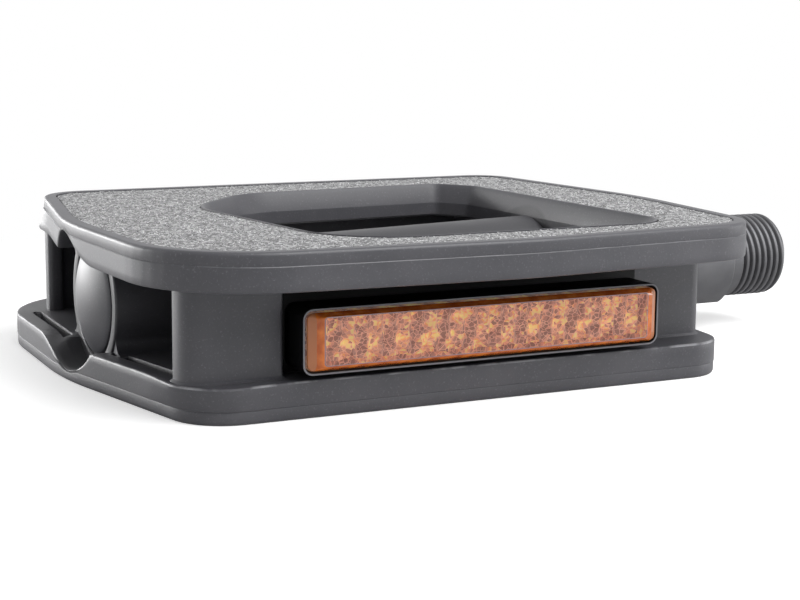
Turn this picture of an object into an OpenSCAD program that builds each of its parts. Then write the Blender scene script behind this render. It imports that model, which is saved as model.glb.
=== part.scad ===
// Flat bicycle pedal: a moulded resin platform with a grip pad on each deck and a reflector
// in each long edge, turning on a steel spindle with two cup-and-cone ball bearings.
// X runs along the spindle towards the crank and Z is up. The origin is on the spindle's axis,
// at the shoulder that seats against the crank. The platform is the same on both faces: half a
// turn about X brings each deck, wall and reflector onto the other one.

/* [Platform] */
// Length of the platform along the spindle
platform_len = 98.9; // [92:0.1:106]
// Clear gap from the crank shoulder to the platform
platform_gap = 17.8; // [17:0.1:24]
// Height over both decks
platform_h = 24.3; // [23.4:0.1:27]
// Width of each deck across the spindle
deck_w = 84.1; // [80:0.1:98]
// Distance that each deck is set towards its own leading edge
deck_shift = 4.8; // [4:0.1:6]
// Thickness of each deck
deck_t = 5.45; // [4.6:0.05:5.8]
// Thickness of the shelf that covers a reflector's chamber
shelf_t = 2.2; // [1.6:0.1:2.8]
// How far the outboard edge runs in at its leading corner
lead_out_set = 1.5; // [0:0.1:3]
// How far the leading edge runs back at its outboard corner
lead_out_fall = 2.6; // [0:0.1:4]
// Place along Y of the slight bend in the outboard edge
bend_out_y = -1.6; // [-8:0.1:4]
// Place along Y of the slight bend in the inboard edge
bend_in_y = -5.8; // [-10:0.1:4]
// How far the inboard edge runs in at its trailing corner
trail_in_set = 5.1; // [3:0.1:7]
// How far the outboard edge runs in at its trailing corner
outboard_taper = 7.4; // [3:0.1:9]
// How far the inboard edge runs in at its leading corner
inboard_taper = 3.8; // [1:0.1:6]
// How far the leading edge runs back at its inboard corner
leading_taper = 3.4; // [2:0.1:6]
// Length of the stretch where the leading edge runs back
leading_taper_len = 45.5; // [36:0.5:50]
// Corner radius, leading outboard
corner_lead_out = 18; // [8:0.5:20]
// Corner radius, leading inboard
corner_lead_in = 10; // [8:0.5:18]
// Corner radius, trailing inboard
corner_trail_in = 7; // [5:0.5:11]
// Corner radius, trailing outboard
corner_trail_out = 8.5; // [4:0.5:10]
// Radius of the slight bends along the edges
bend_r = 70; // [40:5:90]

/* [Foot well] */
// Deck left beyond the well's border, leading side
lead_strip = 9.6; // [7:0.1:11]
// Deck left beyond the well's border, trailing side
trail_strip = 11.8; // [10.5:0.1:13]
// Deck left beyond the well's border, outboard side
out_strip = 23.4; // [21:0.1:25]
// Deck left beyond the well's border, inboard side
in_strip = 15.4; // [13:0.1:17]
// How far the well's outboard edge runs in towards its leading corner
well_slant_out = 5.5; // [0:0.1:7]
// How far the well's inboard edge runs in towards its trailing corner
well_slant_in = 3; // [0:0.1:6]
// Width of the smooth border round the well
border_w = 2; // [1:0.1:2]
// Length along X of the well's outboard trailing cut-off corner
out_cut_x = 14; // [11:0.5:18]
// Width along Y of the well's outboard trailing cut-off corner
out_cut_y = 17.4; // [15:0.1:23]
// Rise of the well's trailing edge towards the inboard end
well_rise = 2.6; // [2:0.1:5]
// Length along X of the well's inboard trailing facet
in_cut_x = 4.7; // [3:0.1:7]
// Width along Y of the well's inboard trailing facet
in_cut_y = 6.6; // [5:0.1:9]
// Corner radius of the well, leading outboard
well_out_r = 14; // [8:0.5:16]
// Corner radius of the well, leading inboard
well_r = 7; // [5:0.5:9]

/* [Walls] */
// Thickness of the moulded walls
wall_t = 2.5; // [2:0.1:2.9]
// Set-back of the reflector wall behind the nearer deck edge
wall_back = 6.1; // [5.7:0.1:7.3]
// Set-back of the outboard corner wall behind the nearer deck edge
corner_wall_back = 2.3; // [1.9:0.1:3.5]
// Set-back of the outboard corner wall from the platform's outboard edge
corner_wall_set = 6.5; // [4:0.1:8]
// Length of the outboard corner wall along the spindle
corner_wall_len = 14.2; // [13:0.1:17]
// Outer radius of the outboard corner wall
corner_wall_r = 3.8; // [3:0.1:6.5]
// Set-back of the reflector wall's inboard end from the platform's inboard edge
wall_in_set = 6; // [4:0.1:8]
// Length of the inboard return wall
return_len = 10.5; // [8:0.5:14]

/* [Barrel] */
// Outer radius of the barrel's outboard boss
boss_out_r = 10.63; // [10.4:0.01:11]
// Outer radius of the barrel's inboard boss
boss_in_r = 11.2; // [11:0.05:11.6]
// Smallest outer radius of the barrel, outboard of its middle
barrel_r = 7.95; // [7.6:0.05:8.4]
// Outer radius of the barrel where it meets the inboard boss
barrel_flare_r = 9.1; // [8.6:0.05:9.6]
// Inner radius of the barrel between the bearing cups
barrel_bore_r = 6; // [5.6:0.05:6.2]
// Set-back of the outboard boss from the platform's outboard edge
boss_out_set = 4.9; // [3:0.1:6]
// Set-back of the inboard boss from the platform's inboard edge
boss_in_set = 1.1; // [0.8:0.1:2]
// Length of the outboard boss
boss_out_len = 14.5; // [13.5:0.5:17]
// Length of the inboard boss
boss_in_len = 10; // [9:0.5:12]
// Radius of the fillets between the outboard boss and the decks
boss_fillet = 1.8; // [1:0.1:3]
// Radius of the round cut that clears the cap in both rims
scallop_r = 10.3; // [9.6:0.05:10.4]

/* [Grip pads] */
// Thickness of each pad
pad_t = 0.85; // [0.6:0.05:1.2]
// Width of the smooth rim round each pad
pad_rim = 2; // [1.4:0.1:3]
// Clearance round each pad in its recess
pad_fit = 0.15; // [0.05:0.05:0.3]

/* [Reflectors] */
// Length of each reflector housing
reflector_len = 57.5; // [52:0.5:58]
// Height of each reflector housing
reflector_h = 9.2; // [8:0.1:10]
// Corner radius of each reflector housing
reflector_r = 1.5; // [1:0.1:2]
// How far each housing's front edge stands out past the nearer deck edge
reflector_proud = 1.4; // [0:0.1:2.5]
// Distance that the reflector sits off the platform's middle height
reflector_drop = 1.3; // [0.8:0.1:1.7]
// Clearance between the housing's base and the outboard corner wall
reflector_gap = 1.2; // [0.8:0.1:2]
// Thickness of the housing's side walls
housing_wall = 0.5; // [0.4:0.05:0.8]
// Thickness of the housing's base plate
housing_base = 1.2; // [1:0.1:1.8]
// Depth of the lens inside the housing
lens_depth = 5.2; // [4:0.1:5.6]
// Height of the lens in front of the housing
lens_proud = 1.2; // [0.6:0.1:1.6]
// Slope of the lens at its two ends
lens_slope_x = 2.2; // [1.2:0.1:3]
// Slope of the lens along its top and bottom
lens_slope_z = 0.6; // [0.3:0.1:1]
// Clearance round the lens in its housing
lens_fit = 0.1; // [0.05:0.01:0.15]
// Width of each snap hook
hook_w = 8; // [5:0.5:10]
// Thickness of each snap hook
hook_t = 1.6; // [1.2:0.1:2]
// Distance between the two snap hooks
hook_pitch = 36; // [24:1:40]

/* [Spindle] */
// Major diameter of the crank thread, nine sixteenths of an inch
thread_d = 14.29; // [12.7:0.01:14.4]
// Length of the crank thread
thread_len = 12.25; // [10:0.25:14]
// Length of the bevel at the thread's end
thread_bevel = 1.25; // [0.6:0.05:1.5]
// Diameter of the collar
collar_d = 17.3; // [16.4:0.1:18]
// Distance across the wrench flats
wrench_af = 15; // [14.6:0.1:16]
// Length of the wrench flats
wrench_len = 11; // [8:0.5:12]
// Round shoulder between the wrench flats and the crank
shoulder_len = 4; // [2:0.5:5]
// Radius of the spindle behind the dust seal
seal_seat_r = 6.4; // [6.1:0.05:6.6]
// Radius of the spindle next to the inboard bearing
shaft_r = 4.9; // [4.5:0.05:5.1]
// Radius of the spindle next to the outboard bearing
shaft_end_r = 4.3; // [4:0.05:4.6]
// Radius of the spindle's outboard thread
end_thread_r = 3.5; // [3:0.05:3.6]

/* [Bearings] */
// Diameter of each ball, one eighth of an inch
ball_d = 3.175; // [3:0.005:3.2]
// Pitch radius of the inboard ball ring
pitch_in_r = 6.9; // [6.85:0.01:7]
// Pitch radius of the outboard ball ring
pitch_out_r = 6; // [5.9:0.01:6.05]
// Number of balls in the inboard ring
balls_in = 13; // [9:1:13]
// Number of balls in the outboard ring
balls_out = 11; // [7:1:11]
// Outer radius of the inboard cup
cup_in_r = 9.4; // [9.2:0.05:9.6]
// Outer radius of the outboard cup
cup_out_r = 8.3; // [8.1:0.05:8.5]
// Thickness of each cup's floor
cup_floor = 0.9; // [0.6:0.05:1.1]
// Depth of each cup's rim beyond its balls' centres
cup_rim = 1.8; // [1.6:0.05:2]
// Clearance between the balls and their races
race_gap = 0.03; // [0.01:0.01:0.05]
// Clearance left round each pressed cup and seal in its bore
press_gap = 0.02; // [0.01:0.01:0.05]
// Distance from the inboard boss's end to the inboard balls' centres
ball_in_depth = 4.7; // [4.4:0.1:5.2]
// Distance from the outboard boss's end to the outboard balls' centres
ball_out_depth = 9.5; // [9.2:0.1:10.5]
// Outer radius of the adjusting cone
cone_r = 5.6; // [5.2:0.05:5.8]
// Length of the adjusting cone behind its race
cone_back = 2.3; // [1.6:0.1:2.6]
// Thickness of the keyed washer
washer_t = 1; // [0.8:0.1:1.2]
// Outer radius of the keyed washer
washer_r = 5.2; // [4.8:0.1:5.6]
// Distance across the lock nut's flats
nut_af = 11; // [10:0.1:12]
// Thickness of the lock nut
nut_t = 3; // [2.4:0.1:3.2]
// Width of the keyway in the outboard thread
key_w = 1.6; // [1:0.1:2]
// Depth of the keyway in the outboard thread
key_depth = 0.8; // [0.5:0.1:1]
// Clearance of a thread or key in its part
thread_fit = 0.05; // [0.02:0.01:0.1]

/* [Seal and cap] */
// Thickness of the dust seal
seal_t = 2.3; // [1.8:0.1:2.4]
// Clearance between the dust seal and the spindle
seal_fit = 0.08; // [0.05:0.01:0.1]
// Radius of the cap's domed face
cap_r = 8.2; // [7.8:0.05:8.3]
// Height of the cap's dome
cap_dome = 2; // [1:0.1:2.6]
// Thickness of the cap
cap_t = 1.2; // [0.8:0.1:1.4]
// Radius of the mouth that holds the cap
cap_mouth_r = 8.67; // [8.6:0.01:8.8]
// Depth of the mouth that holds the cap
cap_mouth_depth = 2.6; // [2.2:0.1:3]
// Clearance of the cap's plug in the mouth
cap_fit = 0.08; // [0.03:0.01:0.15]

/* [Hidden] */
$fn = 96;
cut = 1;                 // how far a cutting solid runs past the face it cuts
sink = 0.8;              // how far walls run into the decks that they join
resin = [0.29, 0.29, 0.31];
grit = [0.62, 0.62, 0.64];
black = [0.05, 0.05, 0.06];
amber = [0.95, 0.5, 0.12];
steel = [0.45, 0.45, 0.46];
bright = [0.75, 0.75, 0.77];
rubber = [0.1, 0.1, 0.1];

x_in = -platform_gap;
x_out = x_in - platform_len;
y_lead = -deck_w / 2 - deck_shift;
y_trail = deck_w / 2 - deck_shift;
z_top = platform_h / 2;
z_under = z_top - deck_t;
z_shelf = z_under + shelf_t;

// Stations along the spindle, from the platform's two ends
boss_out_x = x_out + boss_out_set;
boss_in_x = x_in - boss_in_set;
ball_out_x = boss_out_x + ball_out_depth;
ball_in_x = boss_in_x - ball_in_depth;
well_out_x = x_out + out_strip + border_w;
well_in_x = x_in - in_strip - border_w;
neck_step = 0.6;         // how much the barrel swells near its outboard boss
neck_len = 7;            // length of that swelling
flare_len = 4;           // length of the cone that runs up to the inboard boss
recess_edge_r = 0.5;
wall_end_r = 2;
barb = 1.2;              // how far a snap hook's barb reaches behind the wall
cone_nose_wall = 0.7;    // wall of the adjusting cone's nose
cone_nose_reach = 1.6;   // reach of that nose past the balls' centres
relief_x = 0.5;          // start of the spindle's relief behind the cone's nose
relief_end_x = 1.5;      // end of it
tip_bevel = 0.75;        // radial size of the crank thread's end bevel
tab_out = 0.6;           // how far the washer's tab reaches into the washer
end_room = 0.4;          // spindle past the lock nut, and collar clear of the boss
cap_rim_h = 1.3;         // height of the cap's straight rim
wall_y = y_trail - wall_back;
corner_wall_y = y_trail - corner_wall_back;
reflector_y = y_trail + reflector_proud;
well_inner_y = wall_y - wall_t;
wall_in_x = x_in - wall_in_set;
corner_wall_x = x_out + corner_wall_set;
recess_x = corner_wall_x + corner_wall_len;

// Race lines stand at 45 degrees, so a race clears its balls by this much along X or the radius
ball_r = ball_d / 2;
race_reach = sqrt(2) * (ball_r + race_gap);
cup_hole_step = 0.3;     // how much larger a cup's hole is than its ball ring's pitch radius

// Outlines are lists of [x, y, corner radius], anticlockwise, for the top deck
deck_outline = [
    [x_out + lead_out_set, y_lead + lead_out_fall, corner_lead_out],
    [x_in - leading_taper_len, y_lead, bend_r],
    [x_in - inboard_taper, y_lead + leading_taper, corner_lead_in],
    [x_in, bend_in_y, bend_r],
    [x_in - trail_in_set, y_trail, corner_trail_in],
    [x_out + outboard_taper, y_trail, corner_trail_out],
    [x_out, bend_out_y, bend_r]
];
well_lead_y = y_lead + lead_strip;
well_trail_y = y_trail - trail_strip;
border_out_x = x_out + out_strip;
border_in_x = x_in - in_strip;
border_outline = [
    [border_out_x + well_slant_out, well_lead_y, well_out_r],
    [border_in_x, well_lead_y, well_r],
    [border_in_x - well_slant_in, well_trail_y - in_cut_y, well_r / 2],
    [border_in_x - well_slant_in - in_cut_x, well_trail_y, well_r / 2],
    [border_out_x + out_cut_x, well_trail_y - well_rise, 2 * well_r],
    [border_out_x, well_trail_y - out_cut_y, 2 * well_r]
];

function xy(p) = [p.x, p.y];
function unit(v) = v / norm(v);
function cross2(a, b) = a.x * b.y - a.y * b.x;
function corner_half(a, b, c) = acos(unit(a - b) * unit(c - b)) / 2;

// Points of the arc that rounds corner b between its neighbours a and c
function corner_arc(a, b, c, r, steps = 8) =
    let (half = corner_half(a, b, c))
    (r == 0 || half > 89.9) ? [b] :
    let (
        room = 0.49 * min(norm(a - b), norm(c - b)),
        fit_r = min(r, room * tan(half)),
        middle = b + unit(unit(a - b) + unit(c - b)) * fit_r / sin(half),
        start = b + unit(a - b) * fit_r / tan(half) - middle,
        from = atan2(start.y, start.x),
        turn = (180 - 2 * half) * sign(cross2(b - a, c - b))
    )
    [for (i = [0 : steps]) middle + fit_r * [cos(from + turn * i / steps), sin(from + turn * i / steps)]];

function rounded(v) =
    [for (i = [0 : len(v) - 1])
        each corner_arc(xy(v[(i + len(v) - 1) % len(v)]), xy(v[i]), xy(v[(i + 1) % len(v)]), v[i][2])];

// The same outline with every edge moved inwards by d
function moved_corner(a, b, c, d) =
    let (
        e1 = unit(b - a),
        e2 = unit(c - b),
        p1 = b + d * [-e1.y, e1.x],
        p2 = b + d * [-e2.y, e2.x],
        bend = cross2(e1, e2)
    )
    abs(bend) < 0.0001 ? p1 : p1 + e1 * cross2(p2 - p1, e2) / bend;

function inset(v, d) =
    [for (i = [0 : len(v) - 1])
        let (p = moved_corner(xy(v[(i + len(v) - 1) % len(v)]), xy(v[i]), xy(v[(i + 1) % len(v)]), d))
        [p.x, p.y, max(0.5, v[i][2] - d)]];

// A solid turned about the spindle's axis from points [radius, x]
module turned(profile) {
    rotate([0, 90, 0]) rotate_extrude() polygon(profile);
}

module turned_bar(r, x0, x1) {
    translate([x0, 0, 0]) rotate([0, 90, 0]) cylinder(h = x1 - x0, r = r);
}

module plate(v, z0, z1) {
    translate([0, 0, z0]) linear_extrude(z1 - z0) polygon(rounded(v));
}

// Half a turn about the spindle gives the bottom deck's and the rear edge's copy
module other_face() {
    rotate([180, 0, 0]) children();
}

module deck() {
    difference() {
        plate(deck_outline, z_under, z_top);
        difference() {
            plate(inset(deck_outline, pad_rim), z_top - pad_t, z_top + cut);
            plate(border_outline, z_top - pad_t - cut, z_top + 2 * cut);
        }
        plate(inset(border_outline, border_w), z_shelf, z_top + cut);
        intersection() {
            plate(inset(border_outline, border_w), z_under - cut, z_shelf + cut);
            translate([x_out, -well_inner_y, z_under - cut])
                cube([platform_len, 2 * well_inner_y, shelf_t + 2 * cut]);
        }
    }
}

// Leading wall between the decks, seen from above
module wall_plan() {
    difference() {
        polygon(rounded([
            [corner_wall_x, -corner_wall_y, corner_wall_r],
            [recess_x, -corner_wall_y, recess_edge_r],
            [recess_x, -wall_y, 0],
            [wall_in_x, -wall_y, wall_end_r],
            [wall_in_x, -wall_y + return_len, 0],
            [corner_wall_x, -wall_y + return_len, 0]
        ]));
        translate([corner_wall_x + wall_t, wall_t - corner_wall_y])
            square([corner_wall_len - 2 * wall_t, corner_wall_y]);
        translate([corner_wall_x, -well_inner_y])
            square([wall_in_x - wall_t - corner_wall_x, well_inner_y]);
    }
}

module hook_slots() {
    slot_fit = 0.3;
    for (side = [-1, 1])
        translate([reflector_x() + side * hook_pitch / 2 - hook_w / 2 - slot_fit,
                   -wall_y - cut, -reflector_drop - hook_t / 2 - slot_fit])
            cube([hook_w + 2 * slot_fit, wall_t + 2 * cut, 2 * hook_t + 2 * slot_fit]);
}

// Cross walls that close the end pockets at the two ends of the foot well
module cross_walls() {
    for (x = [well_out_x - wall_t, well_in_x])
        translate([x, -well_inner_y - wall_t / 2, -z_under - sink])
            cube([wall_t, well_inner_y + wall_t / 2, 2 * (z_under + sink)]);
}

module half_frame() {
    deck();
    difference() {
        translate([0, 0, -z_under - sink]) linear_extrude(2 * (z_under + sink)) wall_plan();
        hook_slots();
    }
    cross_walls();
}

// Fillets that run from the outboard boss up and down into the decks
module boss_fillets() {
    fillet_y = sqrt(pow(boss_out_r + boss_fillet, 2) - pow(z_under - boss_fillet, 2));
    translate([boss_out_x, 0, 0]) rotate([90, 0, 90]) linear_extrude(boss_out_len) difference() {
        square([2 * fillet_y, 2 * (z_under + sink)], center = true);
        for (side = [-1, 1])
            translate([side * fillet_y, 0]) {
                square(2 * [boss_fillet, z_under - boss_fillet], center = true);
                for (end = [-1, 1]) translate([0, end * (z_under - boss_fillet)]) circle(r = boss_fillet);
            }
    }
}

module barrel() {
    neck_out_x = boss_out_x + boss_out_len;
    neck_in_x = boss_in_x - boss_in_len;
    slim_x = neck_out_x + (neck_in_x - neck_out_x) / 3;
    turned([
        [0, boss_out_x],
        [boss_out_r, boss_out_x],
        [boss_out_r, neck_out_x],
        [barrel_r + neck_step, neck_out_x + neck_len],
        [barrel_r, slim_x],
        [barrel_flare_r, neck_in_x - flare_len],
        [boss_in_r, neck_in_x],
        [boss_in_r, boss_in_x],
        [0, boss_in_x]
    ]);
}

module barrel_bores() {
    turned_bar(barrel_bore_r, boss_out_x - cut, boss_in_x + cut);
    turned_bar(cap_mouth_r, boss_out_x - cut, boss_out_x + cap_mouth_depth);
    turned_bar(cup_out_r + press_gap, boss_out_x, ball_out_x + cup_foot());
    turned_bar(cup_in_r + press_gap, ball_in_x - cup_foot(), x_in + cut);
    turned_bar(scallop_r, x_out - cut, boss_out_x);
}

module pedal_frame() {
    color(resin) difference() {
        union() {
            half_frame();
            other_face() half_frame();
            boss_fillets();
            barrel();
        }
        barrel_bores();
    }
}

module grip_pad() {
    color(grit) difference() {
        plate(inset(deck_outline, pad_rim + pad_fit), z_top - pad_t, z_top);
        plate(inset(border_outline, -pad_fit), z_top - pad_t - cut, z_top + cut);
    }
}

module grip_pad_top() {
    grip_pad();
}

module grip_pad_bottom() {
    other_face() grip_pad();
}

function reflector_x() = recess_x + reflector_gap + reflector_len / 2;

// A block round the reflector's centre line, from the wall side y0 out to y1, with round corners
module reflector_block(len_x, len_z, r, y0, y1) {
    half_x = len_x / 2;
    half_z = len_z / 2;
    corners = [[-half_x, -half_z, r], [half_x, -half_z, r], [half_x, half_z, r], [-half_x, half_z, r]];
    translate([reflector_x(), -y0, -reflector_drop])
        rotate([90, 0, 0]) linear_extrude(y1 - y0) polygon(rounded(corners));
}

module snap_hook() {
    hook_fit = 0.15;
    translate([-hook_w / 2, -wall_y - housing_base / 2, -hook_t / 2])
        cube([hook_w, wall_t + housing_base / 2 + barb, hook_t]);
    translate([-hook_w / 2, -well_inner_y + hook_fit, -hook_t / 2])
        cube([hook_w, barb - hook_fit, hook_t * 1.5]);
}

module reflector_housing() {
    cavity_y = reflector_y - lens_depth;
    base_gap = 0.2;
    base_x0 = recess_x + base_gap;
    base_x1 = reflector_x() + reflector_len / 2;
    base_half = z_under - base_gap;
    color(black) {
        difference() {
            union() {
                reflector_block(reflector_len, reflector_h, reflector_r, wall_y, reflector_y);
                translate([base_x0, -wall_y - housing_base, -base_half])
                    cube([base_x1 - base_x0, housing_base, 2 * base_half]);
            }
            reflector_block(reflector_len - 2 * housing_wall, reflector_h - 2 * housing_wall,
                            reflector_r - housing_wall, cavity_y, reflector_y + cut);
        }
        for (side = [-1, 1])
            translate([reflector_x() + side * hook_pitch / 2, 0, -reflector_drop]) snap_hook();
    }
}

module reflector_housing_front() {
    reflector_housing();
}

module reflector_housing_rear() {
    other_face() reflector_housing();
}

// The lens is a block whose front edges slope back on all four sides
module reflector_lens() {
    len_x = reflector_len - 2 * housing_wall - 2 * lens_fit;
    len_z = reflector_h - 2 * housing_wall - 2 * lens_fit;
    back_y = reflector_y - lens_depth + lens_fit;
    front_y = reflector_y + lens_proud;
    color(amber) intersection() {
        reflector_block(len_x, len_z, reflector_r - housing_wall, back_y, front_y);
        translate([reflector_x(), 0, -reflector_drop - len_z]) linear_extrude(2 * len_z)
            polygon([[-len_x, -back_y + cut], [len_x, -back_y + cut], [len_x / 2, -reflector_y],
                     [len_x / 2 - lens_slope_x, -front_y], [lens_slope_x - len_x / 2, -front_y],
                     [-len_x / 2, -reflector_y]]);
        translate([reflector_x() - len_x, 0, -reflector_drop]) rotate([90, 0, 90]) linear_extrude(2 * len_x)
            polygon([[-back_y + cut, -len_z], [-reflector_y, -len_z / 2], [-front_y, lens_slope_z - len_z / 2],
                     [-front_y, len_z / 2 - lens_slope_z], [-reflector_y, len_z / 2], [-back_y + cut, len_z]]);
    }
}

module reflector_lens_front() {
    reflector_lens();
}

module reflector_lens_rear() {
    other_face() reflector_lens();
}

// Distance from the balls' centres to the foot of a cup
function cup_foot() = race_reach - cup_hole_step + cup_floor;

// A pressed cup. Its mouth looks along side, and its balls' centres are at x
module bearing_cup(pitch, outer_r, x, side) {
    wall_r = pitch + ball_r + 2 * race_gap;
    hole_r = pitch + cup_hole_step;
    foot = cup_foot();
    color(bright) translate([x, 0, 0]) rotate([0, side > 0 ? 0 : 180, 0]) turned([
        [outer_r, -foot],
        [outer_r, cup_rim],
        [wall_r, cup_rim],
        [wall_r, wall_r - pitch - race_reach],
        [hole_r, hole_r - pitch - race_reach],
        [hole_r, -foot]
    ]);
}

module bearing_cup_inboard() {
    bearing_cup(pitch_in_r, cup_in_r, ball_in_x, 1);
}

module bearing_cup_outboard() {
    bearing_cup(pitch_out_r, cup_out_r, ball_out_x, -1);
}

module ball_ring(count, pitch, x) {
    color(bright) for (i = [0 : count - 1])
        translate([x, 0, 0]) rotate([360 * i / count, 0, 0]) translate([0, 0, pitch]) sphere(d = ball_d, $fn = 32);
}

module ball_ring_inboard() {
    ball_ring(balls_in, pitch_in_r, ball_in_x);
}

module ball_ring_outboard() {
    ball_ring(balls_out, pitch_out_r, ball_out_x);
}

// Stations of the parts on the outboard thread
cone_race_x = ball_out_x + pitch_out_r - race_reach - cone_r;
cone_end_x = cone_race_x - cone_back;
washer_end_x = cone_end_x - washer_t;
nut_end_x = washer_end_x - nut_t;
cone_nose_r = end_thread_r + cone_nose_wall;
cone_nose_x = ball_out_x + cone_nose_reach;
spindle_end_x = nut_end_x - end_room;

module keyway() {
    translate([spindle_end_x - cut, -key_w / 2, end_thread_r - key_depth])
        cube([cone_end_x - spindle_end_x + 2 * cut, key_w, key_depth + cut]);
}

module spindle() {
    seat_x = ball_in_x + seal_seat_r - pitch_in_r + race_reach;
    shaft_x = ball_in_x + shaft_r - pitch_in_r + race_reach;
    collar_back_x = boss_in_x + end_room;
    collar_r = collar_d / 2;
    thread_r = thread_d / 2;
    edge = 0.5;
    color(steel) difference() {
        turned([
            [0, spindle_end_x],
            [end_thread_r - edge, spindle_end_x],
            [end_thread_r, spindle_end_x + edge],
            [end_thread_r, cone_nose_x + relief_x],
            [shaft_end_r, cone_nose_x + relief_end_x],
            [shaft_r, shaft_x],
            [seal_seat_r, seat_x],
            [seal_seat_r, collar_back_x],
            [collar_r, collar_back_x],
            [collar_r, -edge],
            [collar_r - edge, 0],
            [thread_r, 0],
            [thread_r, thread_len - thread_bevel],
            [thread_r - tip_bevel, thread_len],
            [0, thread_len]
        ]);
        for (side = [-1, 1])
            translate([-shoulder_len - wrench_len, -collar_d, side > 0 ? wrench_af / 2 : -wrench_af / 2 - collar_d])
                cube([wrench_len, 2 * collar_d, collar_d]);
        keyway();
    }
}

module adjusting_cone() {
    color(bright) difference() {
        turned([
            [0, cone_end_x],
            [cone_r, cone_end_x],
            [cone_r, cone_race_x],
            [cone_nose_r, ball_out_x + pitch_out_r - race_reach - cone_nose_r],
            [cone_nose_r, cone_nose_x],
            [0, cone_nose_x]
        ]);
        turned_bar(end_thread_r + thread_fit, cone_end_x - cut, cone_nose_x + cut);
    }
}

module lock_washer() {
    color(bright) {
        difference() {
            turned_bar(washer_r, washer_end_x, cone_end_x);
            turned_bar(end_thread_r + thread_fit, washer_end_x - cut, cone_end_x + cut);
        }
        translate([washer_end_x, thread_fit - key_w / 2, end_thread_r - key_depth + thread_fit])
            cube([washer_t, key_w - 2 * thread_fit, key_depth + tab_out]);
    }
}

module lock_nut() {
    color(bright) difference() {
        translate([nut_end_x, 0, 0]) rotate([0, 90, 0]) cylinder(h = nut_t, d = nut_af / cos(30), $fn = 6);
        turned_bar(end_thread_r + thread_fit, nut_end_x - cut, washer_end_x + cut);
    }
}

module end_cap() {
    ball_face_r = (cap_r * cap_r + cap_dome * cap_dome) / (2 * cap_dome);
    centre_x = boss_out_x - cap_dome + ball_face_r;
    plug_r = cap_mouth_r - cap_fit;
    plug_x = boss_out_x + cap_rim_h;
    plug_end_x = boss_out_x + cap_mouth_depth;
    color(resin) difference() {
        union() {
            intersection() {
                translate([centre_x, 0, 0]) sphere(r = ball_face_r);
                turned_bar(cap_r, boss_out_x - cap_dome - cut, plug_x);
            }
            turned_bar(plug_r, plug_x, plug_end_x);
        }
        intersection() {
            translate([centre_x, 0, 0]) sphere(r = ball_face_r - cap_t);
            turned_bar(cap_r - cap_t, boss_out_x - cap_dome, plug_end_x + cut);
        }
    }
}

module dust_seal() {
    seal_x = ball_in_x + cup_rim;
    color(rubber) difference() {
        turned_bar(cup_in_r, seal_x, seal_x + seal_t);
        turned_bar(seal_seat_r + seal_fit, seal_x - cut, seal_x + seal_t + cut);
    }
}

pedal_frame();
grip_pad_top();
grip_pad_bottom();
reflector_housing_front();
reflector_housing_rear();
reflector_lens_front();
reflector_lens_rear();
spindle();
bearing_cup_inboard();
bearing_cup_outboard();
ball_ring_inboard();
ball_ring_outboard();
adjusting_cone();
lock_washer();
lock_nut();
end_cap();
dust_seal();
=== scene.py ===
import math

import bmesh
import bpy
import numpy as np
from mathutils import Matrix, Vector


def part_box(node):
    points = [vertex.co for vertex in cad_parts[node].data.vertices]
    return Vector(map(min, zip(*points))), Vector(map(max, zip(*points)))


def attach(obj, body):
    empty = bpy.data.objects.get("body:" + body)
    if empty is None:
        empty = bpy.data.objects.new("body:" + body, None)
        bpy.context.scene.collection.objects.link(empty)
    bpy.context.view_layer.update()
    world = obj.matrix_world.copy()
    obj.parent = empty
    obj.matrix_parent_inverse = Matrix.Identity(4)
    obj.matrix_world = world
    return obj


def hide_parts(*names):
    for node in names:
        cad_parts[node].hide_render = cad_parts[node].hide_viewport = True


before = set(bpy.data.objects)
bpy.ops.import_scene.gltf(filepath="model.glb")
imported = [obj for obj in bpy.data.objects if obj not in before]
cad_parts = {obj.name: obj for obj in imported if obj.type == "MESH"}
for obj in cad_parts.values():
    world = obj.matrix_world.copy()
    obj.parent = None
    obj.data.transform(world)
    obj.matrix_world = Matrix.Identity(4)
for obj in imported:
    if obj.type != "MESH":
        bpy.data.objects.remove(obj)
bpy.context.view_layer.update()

MM = 0.001

# ---- Pedal frame ----
# One moulding in dark grey glass-filled nylon. Two decks with rounded rims stand on thin walls and
# share the spindle's barrel. The bottom deck is the top one after half a turn about the spindle.
frame_low, frame_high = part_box("pedal_frame")
pad_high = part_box("grip_pad_top")[1]
PAD_RIM = 2.0 * MM
PAD_FIT = 0.15 * MM
PAD_T = 0.85 * MM
BORDER_W = 2 * MM
DECK_T = 5.45 * MM
SHELF_T = 2.2 * MM
WALL_T = 2.5 * MM
WALL_BACK = 6.1 * MM
CORNER_BACK = 2.3 * MM
CORNER_SET = 6.5 * MM
CORNER_LEN = 14.2 * MM
SINK = 0.8 * MM
# The deck's edges bend, so their corners lie a little outside its box
X_OUT = frame_low.x - 0.24 * MM
X_IN = frame_high.x + 0.36 * MM
Y_LEAD = frame_low.y - 0.1 * MM
Y_TRAIL = pad_high.y + PAD_RIM + PAD_FIT
Z_TOP = frame_high.z
Z_UNDER = Z_TOP - DECK_T
Z_SHELF = Z_UNDER + SHELF_T
RING_POINTS = 640
WELL_MIDDLE = np.array([-62.8, -7.0]) * MM

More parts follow.
